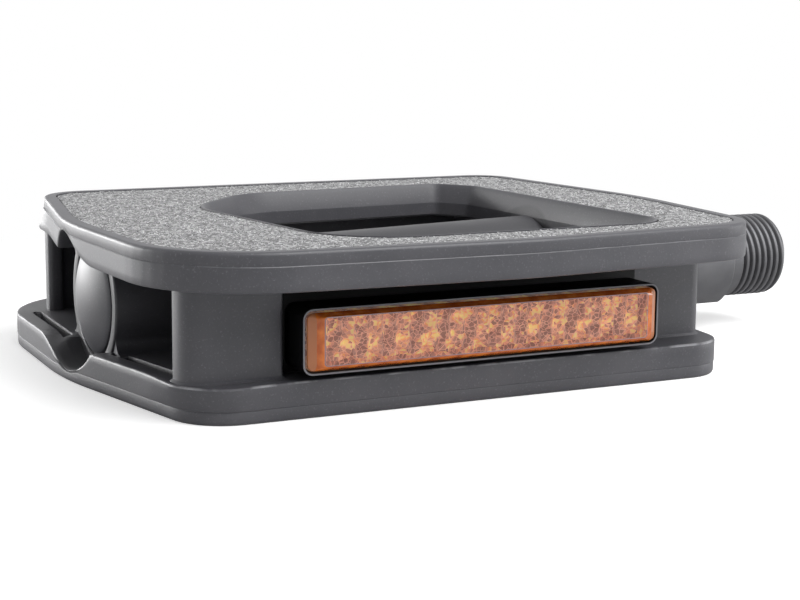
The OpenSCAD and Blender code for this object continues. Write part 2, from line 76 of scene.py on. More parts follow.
DECK_CORNERS = [
    (X_OUT + 1.5 * MM, Y_LEAD + 2.6 * MM, 18 * MM),
    (X_IN - 45.5 * MM, Y_LEAD, 70 * MM),
    (X_IN - 3.8 * MM, Y_LEAD + 3.4 * MM, 10 * MM),
    (X_IN, -5.8 * MM, 70 * MM),
    (X_IN - 5.1 * MM, Y_TRAIL, 7 * MM),
    (X_OUT + 7.4 * MM, Y_TRAIL, 8.5 * MM),
    (X_OUT, -1.6 * MM, 70 * MM),
]
WELL_OUT = X_OUT + 23.4 * MM
WELL_IN = X_IN - 15.4 * MM
WELL_LEAD = Y_LEAD + 9.6 * MM
WELL_TRAIL = Y_TRAIL - 11.8 * MM
BORDER_CORNERS = [
    (WELL_OUT + 5.5 * MM, WELL_LEAD, 14 * MM),
    (WELL_IN, WELL_LEAD, 7 * MM),
    (WELL_IN - 3 * MM, WELL_TRAIL - 6.6 * MM, 3.5 * MM),
    (WELL_IN - 7.7 * MM, WELL_TRAIL, 3.5 * MM),
    (WELL_OUT + 14 * MM, WELL_TRAIL - 2.6 * MM, 14 * MM),
    (WELL_OUT, WELL_TRAIL - 17.4 * MM, 14 * MM),
]


def unit(vector):
    return vector / np.linalg.norm(vector)


def around(radius, angle):
    return radius * np.array([math.cos(angle), math.sin(angle)])


def rounded_outline(corners, steps=12):
    """The closed outline through corners of (x, y, radius), with an arc at each."""
    points = []
    for i, (x, y, radius) in enumerate(corners):
        here = np.array([x, y])
        if radius == 0:
            points.append(here)
            continue
        before = unit(np.array(corners[i - 1][:2]) - here)
        after = unit(np.array(corners[(i + 1) % len(corners)][:2]) - here)
        half = math.acos(np.clip(before @ after, -1, 1)) / 2
        middle = here + unit(before + after) * radius / math.sin(half)
        start = here + before * radius / math.tan(half) - middle
        end = here + after * radius / math.tan(half) - middle
        first = math.atan2(start[1], start[0])
        turn = (math.atan2(end[1], end[0]) - first + math.pi) % (2 * math.pi) - math.pi
        points += [middle + around(radius, first + turn * share) for share in np.linspace(0, 1, steps + 1)]
    return np.array(points)


def moved_in(corners, distance):
    """The same corners with every edge moved inwards, for an anticlockwise outline."""
    moved = []
    for i, (x, y, radius) in enumerate(corners):
        here = np.array([x, y])
        first = unit(here - np.array(corners[i - 1][:2]))
        second = unit(np.array(corners[(i + 1) % len(corners)][:2]) - here)
        a = here + distance * np.array([-first[1], first[0]])
        b = here + distance * np.array([-second[1], second[0]])
        bend = first[0] * second[1] - first[1] * second[0]
        along = ((b - a)[0] * second[1] - (b - a)[1] * second[0]) / bend
        moved.append((*(a + first * along), max(0.5 * MM, radius - distance)))
    return moved


def ray_hits(outline, middle, angles):
    """Where rays from the middle at these angles cross an outline that is seen whole from there."""
    loop = outline - middle
    bearing = np.unwrap(np.arctan2(loop[:, 1], loop[:, 0]))
    loop = np.vstack([loop, loop[:1]])
    bearing = np.append(bearing, bearing[0] + 2 * math.pi)
    wanted = (angles - bearing[0]) % (2 * math.pi) + bearing[0]
    at = np.clip(np.searchsorted(bearing, wanted, side="right") - 1, 0, len(outline) - 1)
    p, edge = loop[at], loop[at + 1] - loop[at]
    ray = np.stack([np.cos(angles), np.sin(angles)], 1)
    across = edge[:, 0] * ray[:, 1] - edge[:, 1] * ray[:, 0]
    share = (p[:, 1] * ray[:, 0] - p[:, 0] * ray[:, 1]) / across
    return middle + p + edge * np.clip(share, 0, 1)[:, None]


def even_angles(outline, middle, count):
    """Bearings from the middle of points spread evenly along an outline."""
    loop = np.vstack([outline, outline[:1]])
    along = np.append(0, np.cumsum(np.linalg.norm(np.diff(loop, axis=0), axis=1)))
    places = np.linspace(0, along[-1], count, endpoint=False)
    points = np.stack([np.interp(places, along, loop[:, k]) for k in (0, 1)], 1) - middle
    return np.arctan2(points[:, 1], points[:, 0])


DECK_ANGLES = even_angles(rounded_outline(DECK_CORNERS), WELL_MIDDLE, RING_POINTS)


def ring_of(corners, inwards):
    return ray_hits(rounded_outline(moved_in(corners, inwards)), WELL_MIDDLE, DECK_ANGLES)


def with_height(ring, height):
    return np.column_stack([ring, np.broadcast_to(height, len(ring))])


def deck_at(inwards, height):
    return with_height(ring_of(DECK_CORNERS, inwards), height)


def border_at(inwards, height):
    return with_height(ring_of(BORDER_CORNERS, inwards), height)


def smooth(t):
    t = np.clip(t, 0, 1)
    return t * t * (3 - 2 * t)


SCALLOP_R = 10.3 * MM
SCALLOP_DEPTH = 4.9 * MM
SCALLOP_REACH = 14 * MM
FLARE_START = 4.2 * MM
FLARE_END = 14 * MM
WINDOW = (9 * MM, 29 * MM)
GROOVE = (2.5 * MM, 3.8 * MM)
GROOVE_DEPTH = 1.5 * MM


def rim_bottom(ring, inwards):
    """Height of the deck's underside: the round cut beside the barrel's end runs out in a flare
    on the leading side, and a groove lies behind the sill of each end window."""
    x, y = ring[:, 0], ring[:, 1]
    round_cut = np.sqrt(np.maximum(SCALLOP_R**2 - y**2, 0)) * (inwards < SCALLOP_DEPTH)
    edge_height = math.sqrt(SCALLOP_R**2 - FLARE_START**2)
    share = (-y - FLARE_START) / (FLARE_END - FLARE_START)
    slope = FLARE_START / edge_height * (FLARE_END - FLARE_START)
    t = np.clip(share, 0, 1)
    drop = (2 * t**3 - 3 * t**2 + 1) * (edge_height - Z_UNDER) - (t**3 - 2 * t**2 + t) * slope
    flare = (Z_UNDER + drop * (1 - smooth(inwards / SCALLOP_DEPTH))) * (share > 0)
    in_window = (np.abs(y) > WINDOW[0]) & (np.abs(y) < WINDOW[1])
    groove = (Z_UNDER + GROOVE_DEPTH) * in_window * (GROOVE[0] < inwards < GROOVE[1])
    shaped = np.maximum.reduce([np.full(len(y), Z_UNDER), round_cut, flare, groove])
    return np.where(x < X_OUT + SCALLOP_REACH, shaped, Z_UNDER)


PART_HEIGHT = Z_TOP - 0.35 * DECK_T
PART_OVER_CUT = 0.45 * MM
EDGE_R = 0.55 * MM
NIP = 0.08 * MM
SWELL = 1.1 * MM
SWELL_REACH = 15 * MM
SWELL_MIDDLE = np.array([X_OUT + 9 * MM, Y_TRAIL - 2 * MM])


def part_line(ring):
    """Height of the mould's parting line, which climbs over the round cut."""
    x, y = ring[:, 0], ring[:, 1]
    over = np.sqrt(np.maximum((SCALLOP_R + PART_OVER_CUT) ** 2 - y**2, 0))
    return np.where(x < X_OUT + SCALLOP_REACH, np.maximum(PART_HEIGHT, over), PART_HEIGHT)


def outward_of(ring):
    along = np.roll(ring, -1, axis=0) - np.roll(ring, 1, axis=0)
    along /= np.linalg.norm(along, axis=1)[:, None]
    return np.column_stack([along[:, 1], -along[:, 0]])


def corner_swell(ring):
    """How the rim's lower half stands out round the short corner."""
    away = np.linalg.norm(ring - SWELL_MIDDLE, axis=1)
    return outward_of(ring) * SWELL * smooth(1 - away / SWELL_REACH)[:, None]


def deck_rings():
    """The deck as rings: round its rim, across the pad's bed, down the well and back underneath."""
    rim = ring_of(DECK_CORNERS, 0)
    swell, low, part = corner_swell(rim), rim_bottom(rim, 0), part_line(rim)
    rings = [with_height(ring_of(DECK_CORNERS, inwards * MM) + swell, low + lift * MM)
             for inwards, lift in ((1.0, 0), (0.35, 0.02), (0.1, 0.14), (0, 0.42))]
    rings += [with_height(rim + swell * (1 - share * 0.7), low + (part - low) * share)
              for share in (0.35, 0.7)]
    rings.append(with_height(rim + swell * 0.12, part - 0.1 * MM))
    rings += [deck_at(NIP, part), deck_at(0.05 * MM, part + 0.1 * MM)]
    rings += [deck_at(NIP + EDGE_R * (1 - math.cos(angle)), Z_TOP - EDGE_R * (1 - math.sin(angle)))
              for angle in np.radians([0, 15, 30, 45, 60, 75, 90])]
    rings += [deck_at(PAD_RIM - NIP, Z_TOP), deck_at(PAD_RIM, Z_TOP - NIP), deck_at(PAD_RIM, Z_TOP - PAD_T)]
    rings.append(border_at(0, Z_TOP - PAD_T))
    rings += [border_at(inwards * MM, Z_TOP - drop * MM)
              for inwards, drop in ((0, 0.06), (0.08, 0), (0.4, 0.05), (0.6, 0.3), (0.75, 0.7))]
    lower = ring_of(BORDER_CORNERS, BORDER_W)
    rings.append(with_height(lower, Z_SHELF + 0.15 * MM))
    # Below the shelf the well stops at the inside of the leading wall
    wall_inside = WALL_BACK + WALL_T - Y_TRAIL
    to_wall = (wall_inside - WELL_MIDDLE[1]) / (lower[:, 1] - WELL_MIDDLE[1])
    cut_short = np.where(lower[:, 1] < wall_inside, to_wall, 1)
    well = (lower - WELL_MIDDLE) * cut_short[:, None]
    rings += [with_height(WELL_MIDDLE + well * widen, height)
              for widen, height in ((1, Z_SHELF), (1, Z_UNDER + 0.3 * MM), (1.01, Z_UNDER))]
    for inwards in (8 * MM, 4.95 * MM, 4.8 * MM, 3.9 * MM, 3.7 * MM, 3.1 * MM, 2.6 * MM, 2.35 * MM):
        ring = ring_of(DECK_CORNERS, inwards)
        rings.append(with_height(ring, rim_bottom(ring, inwards)))
    return rings


def lofted(rings):
    """Points and faces of a closed tube through rings of equal length, the last joined to the first."""
    count, size = len(rings), len(rings[0])
    faces = []
    for i in range(count):
        j = (i + 1) % count
        for k in range(size):
            m = (k + 1) % size
            faces.append((i * size + k, i * size + m, j * size + m, j * size + k))
    return np.vstack(rings), faces


def capped(rings):
    """Points and faces of a loft whose first and last rings are closed by flat faces."""
    points, faces = lofted(rings)
    size = len(rings[0])
    last = size * (len(rings) - 1)
    return points, faces[:last] + [tuple(range(size - 1, -1, -1)), tuple(range(last, last + size))]


def half_turn(points):
    return points * np.array([1, -1, -1])


def extruded(outline, z0, z1):
    """Points and faces of an upright prism."""
    return capped([with_height(outline, z0), with_height(outline, z1)])


def circle(x, r, steps, half_height=1.0):
    """A ring about the spindle's axis, cut flat at this height above and below it."""
    angles = np.linspace(0, 2 * math.pi, steps, endpoint=False)
    z = np.clip(r * np.sin(angles), -half_height, half_height)
    return np.column_stack([np.full(steps, x), r * np.cos(angles), z])


def turned(profile, steps=96):
    """Points and faces of a closed profile of (x, radius) turned about the spindle's axis."""
    return lofted([circle(x, r, steps) for x, r in profile])


def linked(name, mesh):
    """An object of this mesh, in the scene."""
    piece = bpy.data.objects.new(name, mesh)
    bpy.context.scene.collection.objects.link(piece)
    return piece


def made_of(piece, *materials):
    """Gives a piece these materials and no others."""
    piece.data.materials.clear()
    for material in materials:
        piece.data.materials.append(material)


def piece_from(name, parts, sharp=32, fill_ends=False):
    """One object from several shells, each given as points and faces, with its normals outward."""
    mesh = bpy.data.meshes.new(name)
    points, faces, offset = [], [], 0
    for shell_points, shell_faces in parts:
        points.extend(map(tuple, shell_points))
        faces.extend(tuple(i + offset for i in face) for face in shell_faces)
        offset += len(shell_points)
    mesh.from_pydata(points, [], faces)
    work = bmesh.new()
    work.from_mesh(mesh)
    bmesh.ops.remove_doubles(work, verts=work.verts, dist=1e-7)
    bmesh.ops.dissolve_degenerate(work, edges=work.edges, dist=1e-8)
    if fill_ends:
        bmesh.ops.holes_fill(work, edges=[e for e in work.edges if e.is_boundary])
    bmesh.ops.recalc_face_normals(work, faces=work.faces)
    work.to_mesh(mesh)
    work.free()
    mesh.shade_smooth()
    mesh.set_sharp_from_angle(angle=math.radians(sharp))
    return linked(name, mesh)


BOSS_OUT = X_OUT + SCALLOP_DEPTH
BOSS_IN = X_IN - 1.1 * MM
BOSS_OUT_LEN = 14.5 * MM
BOSS_OUT_R = 10.63 * MM
CAP_MOUTH_R = 8.67 * MM
FILLET_R = 1.8 * MM
POST_SET = 0.9 * MM
FOOT_W = 0.4 * MM
FOOT_H = 0.35 * MM


def wall_outline():
    """Plan of the leading wall: a return at each end, and a recess for the reflector between them."""
    front, back = CORNER_BACK - Y_TRAIL, WALL_BACK - Y_TRAIL
    corner_x, end_x = X_OUT + CORNER_SET, X_IN - 6 * MM
    recess_x, return_y = corner_x + CORNER_LEN, back + 10.5 * MM
    post_y = back + WALL_T - POST_SET
    return rounded_outline([
        (corner_x, post_y, 0.8 * MM),
        (corner_x, front, 3.8 * MM),
        (recess_x, front, 0.6 * MM),
        (recess_x, back, 0.5 * MM),
        (end_x, back, 2 * MM),
        (end_x, return_y, 0.8 * MM),
        (end_x - WALL_T, return_y, 0.8 * MM),
        (end_x - WALL_T, back + WALL_T, 1 * MM),
        (recess_x - WALL_T, back + WALL_T, 0.5 * MM),
        (recess_x - WALL_T, front + WALL_T, 1 * MM),
        (corner_x + WALL_T, front + WALL_T, 1.3 * MM),
        (corner_x + WALL_T, post_y, 0.8 * MM),
    ], 5)


def cross_wall(x):
    """A wall from the leading wall to the barrel, at one end of the well."""
    y0 = WALL_BACK - Y_TRAIL + 1 * MM
    box = np.array([(x, y0), (x + WALL_T, y0), (x + WALL_T, 0), (x, 0)])
    return extruded(box, -Z_UNDER - SINK, Z_UNDER + SINK)


def boss_fillet():
    """One of the four fillets that run from the outboard boss into a deck, the length of the boss."""
    inner_r = 9.7 * MM
    reach = BOSS_OUT_R + FILLET_R
    middle = np.array([math.sqrt(reach**2 - (Z_UNDER - FILLET_R) ** 2), Z_UNDER - FILLET_R])
    touch = math.atan2(middle[1], middle[0])
    arc = [middle + around(FILLET_R, a) for a in np.linspace(math.pi / 2, math.pi + touch, 9)]
    inner = [around(inner_r, a) for a in np.linspace(touch, math.asin((Z_UNDER + SINK) / inner_r), 9)]
    plan = np.array(arc + inner + [(middle[0], Z_UNDER + SINK)])
    points, faces = extruded(plan, BOSS_OUT + 0.3 * MM, BOSS_OUT + BOSS_OUT_LEN)
    return points[:, [2, 0, 1]], faces


def barrel_profile():
    """The barrel's section: outside from the cap's mouth to the inboard boss, and back through its bores."""
    neck_out, neck_in = BOSS_OUT + BOSS_OUT_LEN, BOSS_IN - 10 * MM
    slim_x = neck_out + (neck_in - neck_out) / 3
    mouth = rounded_outline([
        (BOSS_OUT, CAP_MOUTH_R, 0.35 * MM), (BOSS_OUT, BOSS_OUT_R, 0.35 * MM), (neck_out, BOSS_OUT_R, 0)], 4)
    rest = rounded_outline([
        (neck_out, BOSS_OUT_R, 0), (neck_out + 7 * MM, 8.55 * MM, 12 * MM), (slim_x, 7.95 * MM, 60 * MM),
        (neck_in - 4 * MM, 9.1 * MM, 5 * MM), (neck_in, 11.2 * MM, 3 * MM), (BOSS_IN, 11.2 * MM, 0.4 * MM),
        (BOSS_IN, 9.42 * MM, 0.3 * MM), (BOSS_IN - 7.6 * MM, 9.42 * MM, 0.3 * MM),
        (BOSS_IN - 7.6 * MM, 6 * MM, 0.3 * MM), (BOSS_OUT + 12.4 * MM, 6 * MM, 0.3 * MM),
        (BOSS_OUT + 12.4 * MM, 8.32 * MM, 0.3 * MM), (BOSS_OUT + 2.6 * MM, 8.32 * MM, 0.2 * MM),
        (BOSS_OUT + 2.6 * MM, CAP_MOUTH_R, 0.1 * MM)], 6)
    return np.vstack([mouth[:-1], rest])


wall = wall_outline()
wall_foot = wall + outward_of(wall) * FOOT_W
half_shells = [
    lofted(deck_rings()),
    extruded(wall, -Z_UNDER - SINK, Z_UNDER + SINK),
    lofted([with_height(wall_foot, -Z_UNDER - SINK), with_height(wall_foot, -Z_UNDER + 0.02 * MM),
            with_height(wall, -Z_UNDER + FOOT_H)]),
    cross_wall(WELL_OUT + BORDER_W - WALL_T),
    cross_wall(WELL_IN - BORDER_W),
]
fillet_points, fillet_faces = boss_fillet()
half_shells += [(fillet_points * np.array([1, side, 1]), fillet_faces) for side in (-1, 1)]
pedal_frame = piece_from("pedal_frame_moulding", (
    half_shells + [(half_turn(points), faces) for points, faces in half_shells] + [turned(barrel_profile())]))


def fed(tree, node, values):
    """Gives each named or numbered input of a node its value, or a link from the socket given."""
    for socket, value in values.items():
        if isinstance(value, bpy.types.NodeSocket):
            tree.links.new(value, node.inputs[socket])
        else:
            node.inputs[socket].default_value = value


def placed(tree, kind, values=None, **settings):
    """A node laid out on a grid, with its settings and what its inputs are fed with."""
    line, column = divmod(len(tree.nodes), 8)
    node = tree.nodes.new(kind)
    node.location = (column * 200, -line * 300)
    for name, value in settings.items():
        setattr(node, name, value)
    fed(tree, node, values or {})
    return node


def maths(tree, operation, *values):
    """The result of a math node on numbers or sockets."""
    node = placed(tree, "ShaderNodeMath", dict(enumerate(values)), operation=operation)
    return node.outputs[0]


def vector_maths(tree, operation, *values):
    """The vector or the number that a vector math node gives."""
    node = placed(tree, "ShaderNodeVectorMath", dict(enumerate(values)), operation=operation)
    return node.outputs["Value" if operation in ("LENGTH", "DISTANCE", "DOT_PRODUCT") else "Vector"]


def ranged(tree, value, span, result=(0.0, 1.0)):
    """A value carried from one span to another, and held within it."""
    return placed(tree, "ShaderNodeMapRange", {
        "Value": value, "From Min": span[0], "From Max": span[1],
        "To Min": result[0], "To Max": result[1]}).outputs["Result"]


def ramped(tree, value, *stops, steps="LINEAR"):
    """The colour that a ramp of (place, colour) stops gives a value."""
    node = placed(tree, "ShaderNodeValToRGB", {"Fac": value})
    node.color_ramp.interpolation = steps
    stones = node.color_ramp.elements
    for stone, (place, colour) in zip(stones, (stops[0], stops[-1])):
        stone.position, stone.color = place, (*colour, 1)
    for place, colour in stops[1:-1]:
        stones.new(place).color = (*colour, 1)
    return node.outputs["Color"]


def mixed(tree, share, under, over):
    """A colour covered by another as far as share says."""
    over = over if isinstance(over, bpy.types.NodeSocket) else (*over, 1)
    node = placed(tree, "ShaderNodeMix", {0: share, 6: under, 7: over}, data_type="RGBA")
    return node.outputs[2]


def noise(tree, where, size, detail, roughness=0.5):
    """Soft noise whose blotches have this size, a number or a socket."""
    scale = 1 / size if isinstance(size, float) else maths(tree, "DIVIDE", 1.0, size)
    return placed(tree, "ShaderNodeTexNoise", {
        "Vector": where, "Scale": scale, "Detail": detail, "Roughness": roughness}).outputs["Fac"]


def bumped(tree, strength, depth, height):
    """The normals of a surface that stands out by this depth where height is 1."""
    return placed(tree, "ShaderNodeBump", {
        "Strength": strength, "Distance": depth, "Height": height}).outputs["Normal"]


def coordinates(tree):
    return placed(tree, "ShaderNodeTexCoord").outputs["Object"]


def split(tree, vector):
    """The X, Y and Z of a vector."""
    return placed(tree, "ShaderNodeSeparateXYZ", {0: vector}).outputs


def new_finish(name):
    """A new material, with its node tree and its shader."""
    material = bpy.data.materials.new(name)
    material.use_nodes = True
    tree = material.node_tree
    tree.nodes["Principled BSDF"].location = (1800, 0)
    tree.nodes["Material Output"].location = (2100, 0)
    return material, tree, tree.nodes["Principled BSDF"]


def opened(material):
    """A material's node tree, its shader, and what colours the shader so far."""
    shader = material.node_tree.nodes["Principled BSDF"]
    return material.node_tree, shader, shader.inputs["Base Color"].links[0].from_socket


def shader_group(name, inputs, outputs):
    """An empty shader group with named float inputs and outputs, its inputs' sockets and its end node."""
    tree = bpy.data.node_groups.new(name, "ShaderNodeTree")
    for socket, value in inputs.items():
        tree.interface.new_socket(socket, in_out="INPUT", socket_type="NodeSocketFloat").default_value = value
    for socket in outputs:
        tree.interface.new_socket(socket, in_out="OUTPUT", socket_type="NodeSocketFloat")
    return tree, placed(tree, "NodeGroupInput").outputs, placed(tree, "NodeGroupOutput")


def drifting(tree, shader, group, sizes, dark, light, span, roughness, relief):
    """Lets a group's slow pattern carry the colour and sheen, and its fine one the relief. Gives the
    colour and the fine pattern."""
    pattern = placed(tree, "ShaderNodeGroup", node_tree=group)
    fed(tree, pattern, dict(enumerate(sizes)))
    fine, slow = pattern.outputs
    fed(tree, shader, {
        "Roughness": ranged(tree, slow, (0.3, 0.7), roughness), "Normal": bumped(tree, *relief, fine)})
    return ramped(tree, slow, (span[0], dark), (span[1], light)), fine


# The skin that a mould leaves: fine spark-eroded grain, and slow flow marks
moulded_skin, given, out = shader_group(
    "moulded_skin", {"Grain Size": 0.3 * MM, "Flow Size": 14 * MM}, ["Grain", "Flow"])
where = coordinates(moulded_skin)
fed(moulded_skin, out, {
    "Grain": noise(moulded_skin, where, given["Grain Size"], 4.0, 0.65),
    "Flow": noise(moulded_skin, where, given["Flow Size"], 5.0, 0.6)})


def moulded_material(name, dark, light, roughness, grain_size, flow_size, grain_depth):
    """A plastic whose colour and sheen drift between two values over a fine grain with pale specks."""
    material, tree, shader = new_finish(name)
    colour, grain = drifting(tree, shader, moulded_skin, (grain_size, flow_size), dark, light, (0.35, 0.68),
                             roughness, (0.5, grain_depth))
    specks = ranged(tree, grain, (0.58, 0.72), (0.0, 0.5))
    fed(tree, shader, {"Base Color": mixed(tree, specks, colour, [min(1, 2.2 * c) for c in light])})
    return material


resin = moulded_material(
    "resin", (0.052, 0.052, 0.060), (0.072, 0.071, 0.080), (0.40, 0.52), 0.32 * MM, 15 * MM, 0.03 * MM)
tree, shader, colour = opened(resin)
where = coordinates(tree)
sides = split(tree, where)
# Painted shade darkens the barrel: the resin within about 10.4 to 10.9 mm of the spindle's axis
from_axis = vector_maths(tree, "LENGTH", vector_maths(tree, "MULTIPLY", where, (0, 1, 1)))
painted_barrel_shade = ranged(tree, from_axis, (10.9 * MM, 10.4 * MM), (0.0, 0.55))
colour = mixed(tree, painted_barrel_shade, colour, (0.012, 0.012, 0.014))
# Along the bottom deck's inner edge a pale line is painted in patches as a painted highlight, and knocks have
# rubbed the flanks' parting lines pale in places
patchy = ranged(tree, noise(tree, where, 4 * MM, 4.0), (0.42, 0.60))
flank = maths(tree, "GREATER_THAN", maths(tree, "ABSOLUTE", sides["Y"]), 40 * MM)
flank_height = maths(tree, "MULTIPLY", maths(tree, "ABSOLUTE", sides["Z"]), flank)
for height, line, half_width, rub_and_highlight in (
        # Painted highlight: the pale line along the bottom deck's inner edge
        (sides["Z"], -Z_UNDER - 0.2 * MM, 0.15 * MM, 0.5),
        # Wear: the flanks' parting lines
        (flank_height, PART_HEIGHT, 0.06 * MM, 0.15)):
    on_line = maths(tree, "COMPARE", height, line, half_width)
    wear_and_highlight = maths(tree, "MULTIPLY", maths(tree, "MULTIPLY", on_line, patchy), rub_and_highlight)
    colour = mixed(tree, wear_and_highlight, colour, (0.42, 0.42, 0.44))
fed(tree, shader, {"Base Color": colour})
made_of(pedal_frame, resin)
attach(pedal_frame, "platform")
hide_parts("pedal_frame")

# ---- Grip pads ----
# A sheet of grit-faced pad is glued in the recess of each deck, round the foot well. Sharp mineral
# grains stand in its binder, pale and dark mixed.
GRIT_STAND = 0.17 * MM
GRAIN_R = 0.13 * MM
GRAINS_PER_PAD = 8000
PAD_EDGE = 0.1 * MM


def pad_shell():
    """The sheet between the rim of its recess and the border strip of the well."""
    bed, top, outside = Z_TOP - PAD_T, Z_TOP - GRIT_STAND, PAD_RIM + PAD_FIT
    return lofted([
        deck_at(outside, bed), deck_at(outside, top - PAD_EDGE), deck_at(outside + PAD_EDGE, top),
        border_at(-PAD_FIT - PAD_EDGE, top), border_at(-PAD_FIT, top - PAD_EDGE), border_at(-PAD_FIT, bed)])


# Each mineral grain has a tone of its own
grain_tones, given, out = shader_group("grain_tones", {"Cell Size": 0.4 * MM}, ["Tone", "Other Tone"])
cells = placed(grain_tones, "ShaderNodeTexVoronoi", {
    "Vector": coordinates(grain_tones),
    "Scale": maths(grain_tones, "DIVIDE", 1.0, given["Cell Size"])})
channels = placed(grain_tones, "ShaderNodeSeparateColor", {"Color": cells.outputs["Color"]}).outputs
fed(grain_tones, out, {"Tone": channels["Red"], "Other Tone": channels["Green"]})


def mineral_material(name, cell_size, glint_tone, stops, roughness):
    material, tree, shader = new_finish(name)
    grains = placed(tree, "ShaderNodeGroup", node_tree=grain_tones)
    fed(tree, grains, {"Cell Size": cell_size})
    colour = ramped(tree, grains.outputs[glint_tone], *stops)
    fed(tree, shader, {"Base Color": colour, "Roughness": roughness})
    return material, tree, shader


grit_sheet, tree, shader = mineral_material("grit_sheet", 0.34 * MM, "Tone", (
    (0.1, (0.08, 0.08, 0.082)), (0.6, (0.24, 0.24, 0.245)), (0.95, (0.62, 0.62, 0.63))), 0.6)
lumps = noise(tree, coordinates(tree), 0.3 * MM, 4.0, 0.7)
fed(tree, shader, {"Normal": bumped(tree, 1.0, 0.12 * MM, lumps)})
grit_grain, tree, shader = mineral_material("grit_grain", 0.45 * MM, "Other Tone", (
    (0.15, (0.12, 0.12, 0.122)), (0.55, (0.36, 0.36, 0.365)), (0.9, (0.8, 0.8, 0.81))), 0.35)


def geometry_tree(name, inputs):
    """An empty geometry tree with named inputs, the sockets of those, and its end node."""
    tree = bpy.data.node_groups.new(name, "GeometryNodeTree")
    tree.interface.new_socket("Geometry", in_out="INPUT", socket_type="NodeSocketGeometry")
    for socket, kind in inputs.items():
        tree.interface.new_socket(socket, in_out="INPUT", socket_type=kind)
    tree.interface.new_socket("Geometry", in_out="OUTPUT", socket_type="NodeSocketGeometry")
    return tree, placed(tree, "NodeGroupInput").outputs, placed(tree, "NodeGroupOutput")


def finished(tree, out, geometry, material):
    """Ends a geometry tree by giving what it made its material."""
    finish = placed(tree, "GeometryNodeSetMaterial", {"Geometry": geometry, "Material": material})
    fed(tree, out, {"Geometry": finish.outputs[0]})


def grown(name, source, tree, values):
    """The plain mesh that a geometry tree makes of a source object, which is used up."""
    modifier = source.modifiers.new(tree.name, "NODES")
    modifier.node_group = tree
    sockets = {item.name: item.identifier for item in tree.interface.items_tree if item.in_out == "INPUT"}
    for socket, value in values.items():
        modifier[sockets[socket]] = value
    seen = source.evaluated_get(bpy.context.evaluated_depsgraph_get())
    mesh = bpy.data.meshes.new_from_object(seen)
    mesh.name = name
    bpy.data.objects.remove(source)
    return linked(name, mesh)


# Grains are scattered at random over the sheet's upward faces, each a small rough chip
grit_tree, given, out = geometry_tree("grit_scatter", {
    "Grain Count": "NodeSocketInt", "Grain Radius": "NodeSocketFloat",
    "Facing Up": "NodeSocketFloat", "Seed": "NodeSocketInt", "Grain Finish": "NodeSocketMaterial"})
tree = grit_tree
normal = placed(tree, "GeometryNodeInputNormal").outputs[0]
is_up = placed(tree, "FunctionNodeCompare", {
    "A": maths(tree, "MULTIPLY", split(tree, normal)["Z"], given["Facing Up"]), "B": 0.7},
    data_type="FLOAT", operation="GREATER_THAN").outputs[0]
area = placed(tree, "GeometryNodeInputMeshFaceArea").outputs[0]
total = placed(tree, "GeometryNodeAttributeStatistic", {
    "Geometry": given["Geometry"], "Attribute": maths(tree, "MULTIPLY", area, is_up)}, domain="FACE")
spread = placed(tree, "GeometryNodeDistributePointsOnFaces", {
    "Mesh": given["Geometry"], "Selection": is_up, "Seed": given["Seed"],
    "Density": maths(tree, "DIVIDE", given["Grain Count"], total.outputs["Sum"])},
    distribute_method="RANDOM")
chip = placed(tree, "GeometryNodeMeshIcoSphere", {"Radius": 1.0, "Subdivisions": 1})
turn = placed(tree, "FunctionNodeRandomValue", {"Max": (math.tau, math.tau, math.tau)},
              data_type="FLOAT_VECTOR")
size = placed(tree, "FunctionNodeRandomValue", {2: 0.45, 3: 1.0}, data_type="FLOAT").outputs[1]
chips = placed(tree, "GeometryNodeInstanceOnPoints", {
    "Points": spread.outputs["Points"], "Instance": chip.outputs["Mesh"], "Rotation": turn.outputs["Value"],
    "Scale": maths(tree, "MULTIPLY", size, given["Grain Radius"])})
whole = placed(tree, "GeometryNodeRealizeInstances", {"Geometry": chips.outputs["Instances"]})
finished(tree, out, whole.outputs[0], given["Grain Finish"])

top_points, faces = pad_shell()
for node, points, up in (("grip_pad_top", top_points, 1.0), ("grip_pad_bottom", half_turn(top_points), -1.0)):
    sheet = piece_from(node + "_sheet", [(points, faces)])
    made_of(sheet, grit_sheet)
    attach(sheet, "platform")
    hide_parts(node)
    grit = grown(node + "_grit", piece_from(node + "_bed", [(points, faces)]), grit_tree, {
        "Grain Count": GRAINS_PER_PAD, "Grain Radius": GRAIN_R, "Facing Up": up, "Seed": 7,
        "Grain Finish": grit_grain})
    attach(grit, "platform")

# ---- Reflector housings ----
# A black moulded tray whose base plate lies in the wall's recess; the black plate paints the shade of the
# recess. Its rim frames the lens, and two hooks at the back snap through slots in the wall.
tray_low, tray_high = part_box("reflector_housing_front")
RECESS_Y = tray_low.y + 7.5 * MM
TRAY_LEN = 57.5 * MM
TRAY_H = 9.2 * MM
TRAY_R = 1.5 * MM
TRAY_WALL = 0.34 * MM
TRAY_X = tray_high.x - TRAY_LEN / 2
TRAY_Z = -1.3 * MM
CAVITY_DEPTH = 5.3 * MM
RIM_EDGE = 0.12 * MM
BASE_T = 1.2 * MM
BASE_GAP = 0.2 * MM
HOOK_SPREAD = 18 * MM
HOOK_HALF_W = 4 * MM
HOOK_HALF_T = 0.8 * MM


def framed_ring(length, height, radius, y, steps=6):
    """A rounded rectangle about the reflector's centre line, standing across Y."""
    half_x, half_z = length / 2, height / 2
    flat = rounded_outline([(-half_x, -half_z, radius), (half_x, -half_z, radius),
                            (half_x, half_z, radius), (-half_x, half_z, radius)], steps)
    return np.column_stack([flat[:, 0] + TRAY_X, np.full(len(flat), y), flat[:, 1] + TRAY_Z])


def tray_ring(inset, y):
    return framed_ring(TRAY_LEN - 2 * inset, TRAY_H - 2 * inset, TRAY_R - inset, y)


